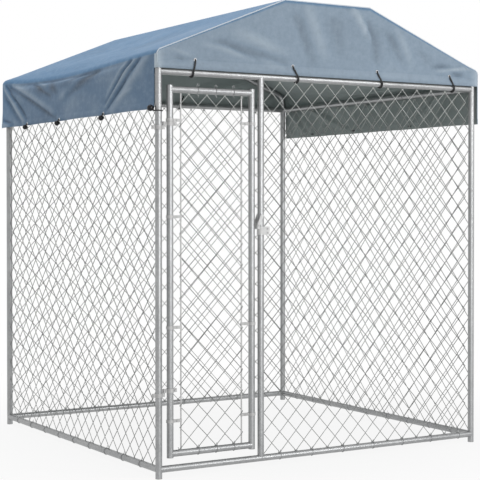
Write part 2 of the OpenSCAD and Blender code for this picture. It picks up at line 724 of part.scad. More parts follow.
// A round cord along a route in one plane across X
module cord(route) {
    last = len(route) - 1;
    function along(s) = route[min(s + 1, last)] - route[max(s - 1, 0)];
    function unit(v) = v / norm(v);
    rings = [for (s = [0 : last])
        let (ahead = unit(along(s)), side = unit(cross(ahead, [1, 0, 0])), up = cross(ahead, side))
        for (c = [0 : cord_sides - 1])
            route[s] + cord_r * (cos(360 * c / cord_sides) * side + sin(360 * c / cord_sides) * up)];
    walls = [for (s = [0 : last - 1], c = [0 : cord_sides - 1])
        let (a = s * cord_sides + c, b = s * cord_sides + (c + 1) % cord_sides)
        each [[a, b, b + cord_sides], [a, b + cord_sides, a + cord_sides]]];
    ends = [[for (c = [cord_sides - 1 : -1 : 0]) c],
        [for (c = [0 : cord_sides - 1]) last * cord_sides + c]];
    polyhedron(rings, concat(walls, ends));
}
module gable_cords(turn) {
    color([0.06, 0.06, 0.07]) rotate([0, 0, turn]) for (s = [0 : len(eyelet_x) - 1])
        translate([eyelet_x[s], -post_y, top_rail_z]) cord(cord_route(cord_lean * lean_share[s]));
}
module gable_cords_front() { gable_cords(0); }
module gable_cords_rear() { gable_cords(180); }

// A flat ring of cord lying level
module cord_ring(radius) {
    rotate_extrude() translate([radius, 0]) circle(d = cord_d);
}
// The side cords: loops from each ball to the mesh, and on the left one round the front post at the corner
module side_cords(side_x) {
    loop_reach = ball_x - post_x - 2 * layer_off - wire_d / 2 - cord_r;
    corner_r = tube_r + seat + cord_r;
    leave = 30;
    off_post = [post_x + corner_r * cos(leave), -post_y + corner_r * sin(leave)];
    pull = [ball_x, ball_y[0]] - off_post;
    color([0.06, 0.06, 0.07]) mirror([side_x < 0 ? 1 : 0, 0, 0]) difference() {
        union() {
            for (s = [1 : len(ball_y) - 1])
                translate([ball_x - loop_reach / 2, ball_y[s], side_cord_z]) cord_ring(loop_reach / 2);
            if (side_x < 0) {
                translate([post_x, -post_y, side_cord_z]) cord_ring(corner_r);
                translate([off_post.x, off_post.y, side_cord_z]) rotate([0, 90, atan2(pull.y, pull.x)])
                    cylinder(d = cord_d - 2 * seat, h = norm(pull));
            }
        }
        for (y = ball_y) translate([ball_x, y, ball_z]) sphere(d = ball_d + 2 * seat);
        translate([post_x, -post_y, 0]) cylinder(r = tube_r + seat / 2, h = top_rail_z);
    }
}
module side_cords_left() { side_cords(-1); }
module side_cords_right() { side_cords(1); }

module cord_balls(side_x) {
    color([0.05, 0.05, 0.06]) for (s = [side_x < 0 ? 0 : 1 : len(ball_y) - 1])
        translate([side_x * ball_x, ball_y[s], ball_z]) sphere(d = ball_d);
}
module cord_balls_left() { cord_balls(-1); }
module cord_balls_right() { cord_balls(1); }

post_front_left();
post_front_right();
post_rear_left();
post_rear_right();
door_post();
top_rail_front();
top_rail_rear();
top_rail_left();
top_rail_right();
bottom_rail_front();
bottom_rail_rear();
bottom_rail_left();
bottom_rail_right();
eave_elbow_front_left();
eave_elbow_front_right();
eave_elbow_rear_left();
eave_elbow_rear_right();
rafter_front_left();
rafter_front_right();
rafter_rear_left();
rafter_rear_right();
ridge_elbows_front();
ridge_elbows_rear();
ridge_bar_front();
ridge_bar_rear();
purlin_left();
purlin_right();
mesh_front();
mesh_rear();
mesh_left();
mesh_right();
gate_hinge_stile();
gate_latch_stile();
gate_top_tube();
gate_bottom_tube();
gate_bar_hinge_side();
gate_bar_latch_side();
gate_mesh();
gate_straps_hinge_side();
gate_straps_latch_side();
gate_strap_bolts();
hinge_post_band_top();
hinge_post_band_bottom();
hinge_post_bolts();
hinge_gate_band_top();
hinge_gate_band_bottom();
hinge_gate_bolts();
latch_clamp();
latch_clamp_bolts();
latch_fork();
latch_pivot_pin();
canopy();
canopy_eyelets();
gable_cords_front();
gable_cords_rear();
side_cords_left();
side_cords_right();
cord_balls_left();
cord_balls_right();
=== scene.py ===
import bpy
import bmesh
import json
import math
from mathutils import Matrix, Vector, noise


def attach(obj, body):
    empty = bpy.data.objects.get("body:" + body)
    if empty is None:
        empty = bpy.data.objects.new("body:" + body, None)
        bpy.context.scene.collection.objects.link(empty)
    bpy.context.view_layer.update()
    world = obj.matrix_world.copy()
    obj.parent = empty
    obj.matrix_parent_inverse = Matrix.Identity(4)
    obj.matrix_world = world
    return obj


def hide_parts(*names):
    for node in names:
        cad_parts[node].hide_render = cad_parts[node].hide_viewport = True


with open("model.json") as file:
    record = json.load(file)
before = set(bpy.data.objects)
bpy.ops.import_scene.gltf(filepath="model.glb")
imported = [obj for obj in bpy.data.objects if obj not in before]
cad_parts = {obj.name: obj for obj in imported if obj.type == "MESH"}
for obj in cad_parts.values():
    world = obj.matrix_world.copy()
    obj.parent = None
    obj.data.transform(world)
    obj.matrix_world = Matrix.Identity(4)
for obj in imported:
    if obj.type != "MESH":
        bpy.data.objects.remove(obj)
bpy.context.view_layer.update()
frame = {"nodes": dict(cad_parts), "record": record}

# Sizes shared with the part, in metres: axes of the tubes, then the canopy's own
POST = 0.95
TUBE_R = 0.016
EAVE = 1.9975
RIDGE = 2.2795
RIDGE_X = 0.255
TOP_RAIL = 1.912
LOW_RAIL = 0.0435
GATE_TOP = 1.8295
GATE_LOW = 0.1125
DOOR_POST = -0.389
SLOPE = math.atan2(RIDGE - EAVE, POST - RIDGE_X)
FOLD_R = 0.014
SHEET_OUT = 0.0185
GABLE_HEM = 1.926
VALANCE_HEM = 1.735
VALANCE_BACK = 0.024
HALF = POST + SHEET_OUT


# Shader node groups

def new_group(name, inputs, outputs):
    """An empty shader group with its sockets; inputs are (name, type, default)."""
    group = bpy.data.node_groups.new(name, "ShaderNodeTree")
    for label, kind, default in inputs:
        socket = group.interface.new_socket(label, in_out="INPUT", socket_type="NodeSocket" + kind)
        if default is not None:
            socket.default_value = default
    for label, kind in outputs:
        group.interface.new_socket(label, in_out="OUTPUT", socket_type="NodeSocket" + kind)
    return group, group.nodes.new("NodeGroupInput"), group.nodes.new("NodeGroupOutput")


def feed(tree, value, socket):
    """Links a value to a socket, or sets the socket where the value is plain."""
    if isinstance(value, bpy.types.NodeSocket):
        tree.links.new(value, socket)
    else:
        socket.default_value = value


def noise_node(tree, vector, scale, detail=3.0, rough=0.55):
    """Cloudy noise of a given scale."""
    node = tree.nodes.new("ShaderNodeTexNoise")
    node.inputs["Detail"].default_value = detail
    node.inputs["Roughness"].default_value = rough
    tree.links.new(vector, node.inputs["Vector"])
    feed(tree, scale, node.inputs["Scale"])
    return node.outputs["Fac"]


def ramp_node(tree, value, low, high, start=0.0, end=1.0):
    """Spreads a value between two limits to the range from start to end."""
    node = tree.nodes.new("ShaderNodeMapRange")
    node.inputs["From Min"].default_value = low
    node.inputs["From Max"].default_value = high
    node.inputs["To Min"].default_value = start
    node.inputs["To Max"].default_value = end
    tree.links.new(value, node.inputs["Value"])
    return node.outputs["Result"]


def math_node(tree, operation, *values):
    """The result of a math node fed with sockets or plain numbers."""
    node = tree.nodes.new("ShaderNodeMath")
    node.operation = operation
    for value, socket in zip(values, node.inputs):
        feed(tree, value, socket)
    return node.outputs["Value"]


def mix_colour(tree, mask, a, b):
    """Colour a where the mask is 0, and b where it is 1."""
    node = tree.nodes.new("ShaderNodeMix")
    node.data_type = "RGBA"
    tree.links.new(mask, node.inputs["Factor"])
    feed(tree, a, node.inputs["A"])
    feed(tree, b, node.inputs["B"])
    return node.outputs["Result"]


def zinc_spangle():
    """Crystal patches and dull weathering of a zinc coat."""
    group, gin, gout = new_group(
        "zinc_spangle",
        [("Vector", "Vector", None), ("Light", "Color", (0.62, 0.63, 0.64, 1)),
         ("Dark", "Color", (0.42, 0.43, 0.44, 1)), ("Scale", "Float", 90.0), ("Roughness", "Float", 0.36)],
        [("Color", "Color"), ("Roughness", "Float"), ("Height", "Float")])
    link = group.links.new
    cells = group.nodes.new("ShaderNodeTexVoronoi")
    link(gin.outputs["Vector"], cells.inputs["Vector"])
    link(gin.outputs["Scale"], cells.inputs["Scale"])
    shade = group.nodes.new("ShaderNodeSeparateColor")
    link(cells.outputs["Color"], shade.inputs["Color"])
    cloud = ramp_node(group, noise_node(group, gin.outputs["Vector"], 7.0, 4.0), 0.15, 1.1)
    fine = noise_node(group, gin.outputs["Vector"], 420.0, 2.0)
    patches = math_node(group, "MULTIPLY_ADD", shade.outputs["Red"], 0.35, cloud)
    link(mix_colour(group, patches, gin.outputs["Dark"], gin.outputs["Light"]), gout.inputs["Color"])
    dull = math_node(group, "MULTIPLY_ADD", fine, 0.12, gin.outputs["Roughness"])
    link(dull, gout.inputs["Roughness"])
    link(fine, gout.inputs["Height"])
    return group


def tarp_weave():
    """Flat tape weave under a coating, read on the sheet's own UV map, in metres."""
    group, gin, gout = new_group(
        "tarp_weave",
        [("UV", "Vector", None), ("Light", "Color", (0.2, 0.35, 0.5, 1)),
         ("Dark", "Color", (0.15, 0.27, 0.4, 1)), ("Tape", "Float", 420.0)],
        [("Color", "Color"), ("Roughness", "Float"), ("Height", "Float")])
    link = group.links.new
    waves = []
    for axis in ("X", "Y"):
        wave = group.nodes.new("ShaderNodeTexWave")
        wave.bands_direction = axis
        wave.inputs["Distortion"].default_value = 0.3
        link(gin.outputs["UV"], wave.inputs["Vector"])
        link(gin.outputs["Tape"], wave.inputs["Scale"])
        waves.append(wave.outputs["Fac"])
    weave = math_node(group, "MAXIMUM", *waves)
    cloud = ramp_node(group, noise_node(group, gin.outputs["UV"], 3.0, 5.0, 0.6), 0.25, 0.85)
    grime = noise_node(group, gin.outputs["UV"], 26.0, 4.0, 0.6)
    tone = math_node(group, "MULTIPLY_ADD", weave, 0.18, cloud)
    link(mix_colour(group, tone, gin.outputs["Dark"], gin.outputs["Light"]), gout.inputs["Color"])
    link(math_node(group, "MULTIPLY_ADD", grime, 0.2, 0.42), gout.inputs["Roughness"])
    link(weave, gout.inputs["Height"])
    return group


def plastic_scuff():
    """Fine scuffs and a little dust on dark plastic and braid."""
    group, gin, gout = new_group(
        "plastic_scuff",
        [("Vector", "Vector", None), ("Base", "Color", (0.01, 0.01, 0.011, 1)),
         ("Dust", "Color", (0.06, 0.06, 0.06, 1)), ("Scale", "Float", 200.0), ("Roughness", "Float", 0.25)],
        [("Color", "Color"), ("Roughness", "Float"), ("Height", "Float")])
    link = group.links.new
    speck = noise_node(group, gin.outputs["Vector"], gin.outputs["Scale"], 4.0, 0.65)
    mask = ramp_node(group, speck, 0.5, 0.85)
    link(mix_colour(group, mask, gin.outputs["Base"], gin.outputs["Dust"]), gout.inputs["Color"])
    rough = math_node(group, "MULTIPLY_ADD", mask, 0.3, gin.outputs["Roughness"])
    link(rough, gout.inputs["Roughness"])
    link(speck, gout.inputs["Height"])
    return group


SPANGLE = zinc_spangle()
WEAVE = tarp_weave()
SCUFF = plastic_scuff()


# Materials

def finish_material(name, group, coordinate, values, metallic=0.0, bump=0.1, distance=0.0003):
    """A Principled material whose colour, roughness and bump come from one of the groups."""
    material = bpy.data.materials.new(name)
    material.use_nodes = True
    tree = material.node_tree
    shader = tree.nodes["Principled BSDF"]
    shader.inputs["Metallic"].default_value = metallic
    place = tree.nodes.new("ShaderNodeTexCoord")
    made = tree.nodes.new("ShaderNodeGroup")
    made.node_tree = group
    tree.links.new(place.outputs[coordinate], made.inputs[0])
    for label, value in values.items():
        made.inputs[label].default_value = value
    tree.links.new(made.outputs["Color"], shader.inputs["Base Color"])
    tree.links.new(made.outputs["Roughness"], shader.inputs["Roughness"])
    relief = tree.nodes.new("ShaderNodeBump")
    relief.inputs["Strength"].default_value = bump
    relief.inputs["Distance"].default_value = distance
    tree.links.new(made.outputs["Height"], relief.inputs["Height"])
    tree.links.new(relief.outputs["Normal"], shader.inputs["Normal"])
    return material


def zinc_finish(name, light, dark, scale, roughness, metallic, bump):
    """A zinc coat with its two tones of grey."""
    values = {"Light": (*light, 1), "Dark": (*dark, 1), "Scale": scale, "Roughness": roughness}
    return finish_material(name, SPANGLE, "Object", values, metallic, bump)


def tarp_finish(name, coordinate, light, dark):
    """A tarpaulin in two tones."""
    values = {"Light": (*light, 1), "Dark": (*dark, 1), "Tape": 130.0}
    return finish_material(name, WEAVE, coordinate, values, bump=0.12, distance=0.0004)


def black_finish(name, base, near_ground, scale, roughness, bump):
    """Black plastic or braid with a little dust."""
    values = {"Base": (*base, 1), "Dust": (*near_ground, 1), "Scale": scale, "Roughness": roughness}
    return finish_material(name, SCUFF, "Object", values, bump=bump)


def set_specular(material, level):
    """Sets how strongly a finish mirrors light."""
    material.node_tree.nodes["Principled BSDF"].inputs["Specular IOR Level"].default_value = level


galvanised = zinc_finish("galvanised_tube", (0.43, 0.436, 0.44), (0.27, 0.276, 0.28),
                         scale=110.0, roughness=0.30, metallic=0.7, bump=0.08)
wire_finish = zinc_finish("galvanised_wire", (0.165, 0.17, 0.165), (0.10, 0.105, 0.10),
                          scale=160.0, roughness=0.50, metallic=0.25, bump=0.08)
bright_zinc = zinc_finish("bright_zinc", (0.62, 0.62, 0.615), (0.46, 0.46, 0.46),
                          scale=140.0, roughness=0.50, metallic=0.3, bump=0.1)
# The latch's zinc: paler than the other hardware, and raised further so its shaded faces read lighter, a painted
# light
latch_zinc_painted_light = zinc_finish("latch_zinc_painted_light", (0.86, 0.86, 0.855), (0.72, 0.72, 0.72),
                         scale=140.0, roughness=0.50, metallic=0.1, bump=0.1)
eyelet_metal = zinc_finish("eyelet_metal", (0.75, 0.76, 0.77), (0.55, 0.56, 0.57),
                           scale=300.0, roughness=0.28, metallic=0.9, bump=0.06)
tarp_outside = tarp_finish("tarpaulin_blue", "UV", (0.128, 0.272, 0.465), (0.096, 0.226, 0.400))
tarp_inside = tarp_finish("tarpaulin_lining", "UV", (0.38, 0.435, 0.43), (0.30, 0.345, 0.34))
# Pale piping on the gables' sloping edges; its pale tone paints the edge's highlight
piping_highlight_tone = tarp_finish("tarpaulin_piping_highlight", "Object", (0.72, 0.79, 0.86), (0.60, 0.68, 0.76))
braid_black = black_finish("braided_elastic", (0.012, 0.012, 0.013), (0.04, 0.04, 0.04),
                           scale=700.0, roughness=0.6, bump=0.5)
ball_black = black_finish("gloss_ball", (0.006, 0.007, 0.009), (0.014, 0.015, 0.018),
                          scale=160.0, roughness=0.12, bump=0.03)
set_specular(ball_black, 0.28)
set_specular(tarp_outside, 0.22)
set_specular(tarp_inside, 0.22)

# Painted tones of the canopy: painted sheen on the gables, painted shade on the valances, painted shade in the
# folds and painted highlights on their ridges; the last two also tint a random mottle
GABLE_PAINTED_SHEEN = (0.32, 0.415, 0.52, 1)
VALANCE_PAINTED_SHADE = (0.142, 0.235, 0.36, 1)
FOLD_SHADE_AND_MOTTLE = (0.05, 0.065, 0.085, 1)
RIDGE_HIGHLIGHT_AND_MOTTLE = (0.62, 0.72, 0.80, 1)
# Tones of the mesh wire: paler towards the ground, and a painted light at the top
WIRE_PALE_LOW = (0.34, 0.35, 0.34, 1)
WIRE_PAINTED_LIGHT = (0.52, 0.54, 0.52, 1)


def painted_sheen_and_fold_shade():
    """Painted sheen on the gables, painted shade on the valances, and painted shade in the folds with painted
    highlights on their ridges, by the sheet's own attributes.
    """
    tree = tarp_outside.node_tree
    shader = tree.nodes["Principled BSDF"]
    colour = shader.inputs["Base Color"].links[0].from_socket

    def attribute(name):
        node = tree.nodes.new("ShaderNodeAttribute")
        node.attribute_name = name
        return node.outputs["Fac"]

    colour = mix_colour(tree, attribute("painted_sheen"), colour, GABLE_PAINTED_SHEEN)
    colour = mix_colour(tree, attribute("shade"), colour, VALANCE_PAINTED_SHADE)
    place = tree.nodes.new("ShaderNodeTexCoord")
    mottle = noise_node(tree, place.outputs["UV"], 30.0, 5.0, 0.72)
    # Painted shade in the folds and painted highlights on their ridges, by the fold attribute; the same two tones
    # tint a random mottle of the cloth
    for value, even, dark_end, pale_end in ((attribute("painted_fold_light"), 0.0, -1.6, 2.2), (mottle, 0.5, -1.1, 2.1)):
        colour = mix_colour(tree, ramp_node(tree, value, even, dark_end), colour, FOLD_SHADE_AND_MOTTLE)
        colour = mix_colour(tree, ramp_node(tree, value, even, pale_end), colour, RIDGE_HIGHLIGHT_AND_MOTTLE)
    tree.links.new(colour, shader.inputs["Base Color"])


def painted_wire_light_by_height():
    """Zinc of the mesh: a painted light brightening it at the top, where it stands against the dark canopy, and
    paler towards the ground.
    """
    tree = wire_finish.node_tree
    shader = tree.nodes["Principled BSDF"]
    colour = shader.inputs["Base Color"].links[0].from_socket
    place = tree.nodes.new("ShaderNodeTexCoord")
    split = tree.nodes.new("ShaderNodeSeparateXYZ")
    tree.links.new(place.outputs["Object"], split.inputs["Vector"])
    # Paler towards the ground; from 1.66 m up, a painted light brightens the wires
    near_ground = ramp_node(tree, split.outputs["Z"], 0.50, 0.12)
    painted_top_light = ramp_node(tree, split.outputs["Z"], 1.66, 1.78)
    colour = mix_colour(tree, near_ground, colour, WIRE_PALE_LOW)
    tree.links.new(mix_colour(tree, painted_top_light, colour, WIRE_PAINTED_LIGHT), shader.inputs["Base Color"])


painted_sheen_and_fold_shade()
painted_wire_light_by_height()


# Helpers for new pieces

def add_piece(name, data, material, body):
    """Links a new object, gives it its finish and lets it ride on a body."""
    obj = bpy.data.objects.new(name, data)
    bpy.context.scene.collection.objects.link(obj)
    obj.data.materials.append(material)
    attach(obj, body)
    return obj


def wire_curve(name, runs, radius, sides=1, closed=False):
    """A curve of round wires, one spline for each run of points."""
    curve = bpy.data.curves.new(name, "CURVE")
    curve.dimensions = "3D"
    curve.bevel_depth = radius
    curve.bevel_resolution = sides
    curve.use_fill_caps = True
    for run in runs:
        spline = curve.splines.new("POLY")
        spline.points.add(len(run) - 1)
        for point, place in zip(spline.points, run):
            point.co = (*place, 1)
        spline.use_cyclic_u = closed
    return curve


def placed(runs, turn, shift):
    """The same runs turned about Z and moved."""
    place = Matrix.Translation(shift) @ Matrix.Rotation(math.radians(turn), 4, "Z")
    return [[place @ Vector(point) for point in run] for run in runs]


# Chain-link mesh

WIRE_R = 0.0017
WEAVE_OFF = 0.0013
BEND_OUT = 0.0013
BEND_X = 0.004
BEND_Z = 0.0045
# A wire's end bent back over its neighbour: way outward, share of the depth, way upward
END_HOOK = [(0.0055, 2, 0.007), (0.0055, 1, -0.001), (0.003, 1, -0.0035)]
ROWS = 36
ROW_STEP = 0.0508
WALL_LOW = 0.0615
WALL_GAP = 0.002
WALL_WIRES = 39
WALL_PITCH = 2 * (POST - TUBE_R - WALL_GAP) / WALL_WIRES
FRONT_GAP = 0.0005
FRONT_WIRES = 27
FRONT_PITCH = 0.04745


def chain_wires(left, pitch, count, low=WALL_LOW, step=ROW_STEP, corners=ROWS, flare=WEAVE_OFF):
    """Zigzag wires in the XZ plane, each hooked through its neighbours; flare is the outer edges' depth."""
    runs = []
    for k in range(count):
        run = []
        for c in range(corners + 1):
            right = (c + k) % 2 == 1
            x = left + (k + 1 if right else k) * pitch
            z = low + c * step
            out = 1 if right else -1
            outer = (k == 0 and not right) or (k == count - 1 and right)
            depth = out * (flare if outer else WEAVE_OFF)
            if c > 0:
                run.append((x - out * BEND_X, -depth, z - BEND_Z))
            else:
                run += [(x + out * a, -depth * share, z + rise) for a, share, rise in END_HOOK]
            run.append((x + out * BEND_OUT, 0, z))
            if c < corners:
                run.append((x - out * BEND_X, depth, z + BEND_Z))
            else:
                run += [(x + out * a, depth * share, z - rise) for a, share, rise in reversed(END_HOOK)]
        runs.append(run)
    return runs


def chain_link(name, node, body, runs):
    """A wall of woven wires in place of the part's mesh."""
    obj = add_piece(name, wire_curve(name, runs, WIRE_R), wire_finish, body)
    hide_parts(node)


wall_runs = chain_wires(-POST + TUBE_R + WALL_GAP, WALL_PITCH, WALL_WIRES)
front_runs = chain_wires(DOOR_POST + TUBE_R + FRONT_GAP, FRONT_PITCH, FRONT_WIRES)
gate_runs = chain_wires(left=-0.8375, pitch=0.0492, count=7, low=0.1310, step=0.0509, corners=33, flare=0.0034)
chain_link("chain_link_front", "mesh_front", "frame", placed(front_runs, 0, (0, -POST, 0)))
chain_link("chain_link_rear", "mesh_rear", "frame", placed(wall_runs, 180, (0, POST, 0)))
chain_link("chain_link_left", "mesh_left", "frame", placed(wall_runs, -90, (-POST, 0, 0)))
chain_link("chain_link_right", "mesh_right", "frame", placed(wall_runs, 90, (POST, 0, 0)))
chain_link("chain_link_gate", "gate_mesh", "gate", placed(gate_runs, 0, (0, -POST, 0)))


# Canopy

EDGE_ROUND = 0.006
SHEET_THICK = 0.0012
HEM_STEP = 0.0014
GABLE_BAND = 0.046
VALANCE_BAND = 0.030
ROOF_SAG = 0.014
EAVE_DIP = 0.036
RIGHT_HEM_DROP = 0.012
CORNER_FLARE = 0.013
LOOSE_REAR = Vector((-0.010, 0.014, 0))
# Steps of the sheet's grid: along the roof line, down the walls, and the cross lines with those near the ends
RIDGE_STEPS = 8
SLOPE_STEPS = 30
FOLD_STEPS = 5
GABLE_STEPS = 21
GABLE_ROWS = GABLE_STEPS + 3
VALANCE_STEPS = 20
SPAN_LINES = 206
EDGE_LINES = [0.0, 0.0010, 0.0032, EDGE_ROUND, 0.011, 0.016, VALANCE_BACK - 0.0016, VALANCE_BACK]
BACK_LINE = len(EDGE_LINES) - 1
BALLS_Y = [-0.9399, -0.3925, 0.1642, 0.6164]
EYELETS_X = [-0.765, -0.2145, 0.3018, 0.7806]
EYELET_RISE = 0.060
EYELET_Z = TOP_RAIL + EYELET_RISE
# Creases of both valances: ends as (y, z), half width and height, outward being positive
VALANCE_CREASES = [
    ((0.955, 1.990), (0.650, 1.750), 0.012, 0.016), ((0.905, 1.975), (0.610, 1.757), 0.011, -0.014),
    ((0.985, 1.960), (0.700, 1.745), 0.012, -0.010), ((0.850, 1.965), (0.210, 1.750), 0.013, -0.015),
    ((0.815, 1.978), (0.250, 1.790), 0.020, 0.010), ((0.560, 1.968), (0.300, 1.880), 0.012, -0.013),
    ((0.500, 1.985), (0.290, 1.925), 0.014, 0.009), ((0.330, 1.950), (0.200, 1.895), 0.024, -0.012),
    ((-0.300, 1.975), (0.060, 1.880), 0.030, -0.016), ((-0.180, 1.990), (0.150, 1.925), 0.018, -0.009),
    ((-0.120, 1.950), (0.150, 1.860), 0.020, 0.008), ((-0.810, 2.000), (-0.395, 1.745), 0.011, -0.015),
    ((-0.755, 2.000), (-0.400, 1.770), 0.012, 0.013), ((-0.700, 1.995), (-0.410, 1.790), 0.012, -0.016),
    ((-0.640, 1.985), (-0.430, 1.820), 0.014, 0.008), ((-0.880, 1.985), (-0.500, 1.757), 0.024, 0.008),
    ((-0.720, 1.850), (-0.560, 1.800), 0.010, 0.005), ((0.990, 1.790), (0.800, 1.750), 0.010, -0.013),
    ((0.985, 1.765), (0.860, 1.742), 0.012, 0.010)]
# Creases of both gables, seen from outside: ends as (x, z), half width and height
GABLE_CREASES = [
    ((-0.930, 2.012), (-0.800, 1.957), 0.012, -0.013), ((-0.900, 2.022), (-0.770, 1.985), 0.013, 0.010),
    ((-0.740, 2.090), (-0.220, 1.980), 0.018, -0.017), ((-0.700, 2.055), (-0.260, 1.970), 0.022, 0.013),
    ((-0.560, 2.040), (-0.380, 1.985), 0.014, -0.014), ((-0.520, 2.120), (-0.250, 2.030), 0.030, 0.011),
    ((-0.210, 2.280), (-0.090, 1.995), 0.024, -0.015), ((-0.130, 2.285), (-0.020, 2.030), 0.034, 0.012),
    ((0.020, 2.270), (0.080, 2.060), 0.030, -0.008), ((0.145, 2.295), (0.255, 2.140), 0.020, 0.022),
    ((0.215, 2.285), (0.285, 2.130), 0.017, -0.015), ((0.285, 2.170), (0.310, 1.995), 0.018, -0.013),
    ((0.350, 2.240), (0.470, 2.020), 0.024, -0.014), ((0.420, 2.220), (0.520, 2.035), 0.024, 0.010),
    ((0.560, 2.160), (0.640, 2.030), 0.026, -0.008), ((0.680, 2.014), (0.945, 2.050), 0.011, -0.020),
    ((0.700, 1.996), (0.950, 2.024), 0.012, 0.022), ((0.760, 1.976), (0.965, 1.998), 0.011, -0.020),
    ((0.730, 2.066), (0.880, 2.048), 0.013, -0.010)]


def smooth_step(low, high, value):
    """0 at the low limit, 1 at the high one, with a soft start and end."""
    t = min(1.0, max(0.0, (value - low) / (high - low)))
    return t * t * (3 - 2 * t)


def crease_height(creases, a, b):
    """Sum of the creases at a place on a wall of the canopy; each dies out at its ends."""
    total = 0.0
    for (a0, b0), (a1, b1), width, height in creases:
        along = Vector((a1 - a0, b1 - b0))
        t = (a - a0) * along.x + (b - b0) * along.y
        t = min(1.0, max(0.0, t / along.length_squared))
        gap = math.hypot(a - a0 - t * along.x, b - b0 - t * along.y)
        if gap < 3 * width:
            total += height * math.exp(-(gap / width) ** 2) * math.sin(math.pi * (0.12 + 0.8 * t)) ** 0.6
    return total


def corner_flare(x, y, z):
    """How far the canopy's loose front right corner stands off its post."""
    share = CORNER_FLARE * smooth_step(-0.78, -0.955, y)
    return share * smooth_step(0.88, 0.965, x) * smooth_step(2.06, 1.99, z)


def roof_profile(off):
    """The roof line at a given distance outside the tube axes, as (x, z, slack), from left to right."""
    fold_r = FOLD_R + off
    fold_x = POST - FOLD_R
    fold_z = EAVE - FOLD_R * math.tan((math.pi / 2 - SLOPE) / 2)
    right = [(RIDGE_X * s / RIDGE_STEPS, RIDGE + off, 0.0) for s in range(RIDGE_STEPS)]
    top = Vector((RIDGE_X + off * math.tan(SLOPE / 2), RIDGE + off))
    foot = Vector((fold_x + fold_r * math.sin(SLOPE), fold_z + fold_r * math.cos(SLOPE)))
    for s in range(SLOPE_STEPS + 1):
        p = top.lerp(foot, s / SLOPE_STEPS)
        right.append((p.x, p.y, math.sin(math.pi * s / SLOPE_STEPS)))
    for s in range(1, FOLD_STEPS + 1):
        turn = (math.pi / 2 - SLOPE) * (1 - s / FOLD_STEPS)
        right.append((fold_x + fold_r * math.cos(turn), fold_z + fold_r * math.sin(turn), 0.0))
    return [(-x, z, slack) for x, z, slack in reversed(right[1:])] + right


def hem_band(top):
    """Depth of the turned-up hem of a gable under a roof point of a given height."""
    return GABLE_BAND * min(1.0, (top - GABLE_HEM) / 0.12)


def canopy_rows(top):
    """Heights of the rows under a roof point: gable, its hem band, then valance and its hem band."""
    band = hem_band(top)
    rows = [top + (GABLE_HEM + band - top) * j / GABLE_STEPS for j in range(GABLE_STEPS + 1)]
    rows += [GABLE_HEM + band * 0.94, GABLE_HEM + band * 0.5, GABLE_HEM]
    low = VALANCE_HEM + VALANCE_BAND
    rows += [GABLE_HEM + (low - GABLE_HEM) * j / VALANCE_STEPS for j in range(1, VALANCE_STEPS + 1)]
    return rows + [VALANCE_HEM + 0.028, VALANCE_HEM + 0.014, VALANCE_HEM]


def depth_stations():
    """Places of the cross lines from front to rear, closer where the gables turn and their returns are sewn on."""
    span = 2 * (HALF - VALANCE_BACK)
    inner = [-HALF + VALANCE_BACK + span * k / SPAN_LINES for k in range(1, SPAN_LINES)]
    return [-HALF + e for e in EDGE_LINES] + inner + [HALF - e for e in reversed(EDGE_LINES)]


def edge_drop(y):
    """How far the roof line has come down at a cross line, where the roof turns into a gable."""
    e = min(EDGE_ROUND, HALF - abs(y))
    return EDGE_ROUND - math.sqrt(EDGE_ROUND ** 2 - (EDGE_ROUND - e) ** 2)


def ripple_at(x, y, z):
    """Small unevenness of the whole sheet."""
    ripple = noise.noise(Vector((2.6 * x, 2.6 * y, 2.6 * z))) * 0.005
    return ripple + noise.noise(Vector((9 * x, 9 * y, 9 * z + 4))) * 0.0024


def open_span(y):
    """1 over the open roof, 0 where it lies on the front and rear tubes."""
    return smooth_step(0.0, 0.22, HALF - abs(y))


def sag_roof(move, ripple, y, slack):
    """Lets a roof point sag between the tubes; gives its painted shade and highlight by the ripple's height."""
    share = math.cos(math.pi / 2 * y / HALF)
    move.z += (ripple * open_span(y) - ROOF_SAG * share) * slack
    return ripple * open_span(y) * slack / 0.012


def pull_eaves(move, side, x, y, z):
    """Draws the eaves in between the posts, and stands the loose rear left corner off its post."""
    skew = min(1.0, max(0.0, (HALF - side * y) / (2 * HALF))) ** 1.4
    dip = EAVE_DIP * math.sin(math.pi * skew) * open_span(y) * smooth_step(1.932, 1.985, z)
    near = math.exp(-(((abs(x) - HALF) ** 2 + (z - 2.0) ** 2) / 0.10 ** 2))
    move += dip * near * Vector((-0.75 * side, 0, -0.66))
    loose_end = smooth_step(0.62, HALF, y) * smooth_step(HALF - 0.25, HALF, -x)
    move += loose_end * LOOSE_REAR * smooth_step(2.06, 1.99, z)


def fold_valance(move, side, ripple, y, z):
    """Creases, billows and hem of a valance, kept off the top rail; gives its painted shade in the creases and
    painted highlight on their ridges.
    """
    fold = crease_height(VALANCE_CREASES, y, z) + ripple * 1.5
    tied = min(math.hypot(y - b, z - VALANCE_HEM) for b in BALLS_Y)
    fold *= smooth_step(0.0, 0.05, HALF - abs(y)) * smooth_step(0.010, 0.065, tied)
    # Flatter by the eave, and no inward folds where the top rail lies behind the sheet
    lift = 1.0 - smooth_step(1.960, 2.0, z) * 0.5
    on_rail = smooth_step(1.888, 1.898, z) * (1 - smooth_step(1.930, 1.945, z))
    move.x += side * 0.75 * (max(fold, 0.0) + min(fold, 0.0) * (1 - on_rail)) * lift
    # The doubled hem, and the billow between the balls
    hem = 1 - smooth_step(VALANCE_HEM + 0.0285, VALANCE_HEM + 0.0295, z)
    between = min(abs(y - b) for b in BALLS_Y)
    loose = smooth_step(0.03, 0.25, between) * smooth_step(1.86, 1.74, z)
    move.x += side * (HEM_STEP * hem + 0.004 * loose)
    move.z += 0.0015 * loose * smooth_step(1.80, 1.74, z)
    if side > 0:
        move.z -= RIGHT_HEM_DROP * smooth_step(1.925, 1.735, z)
    return fold / 0.013


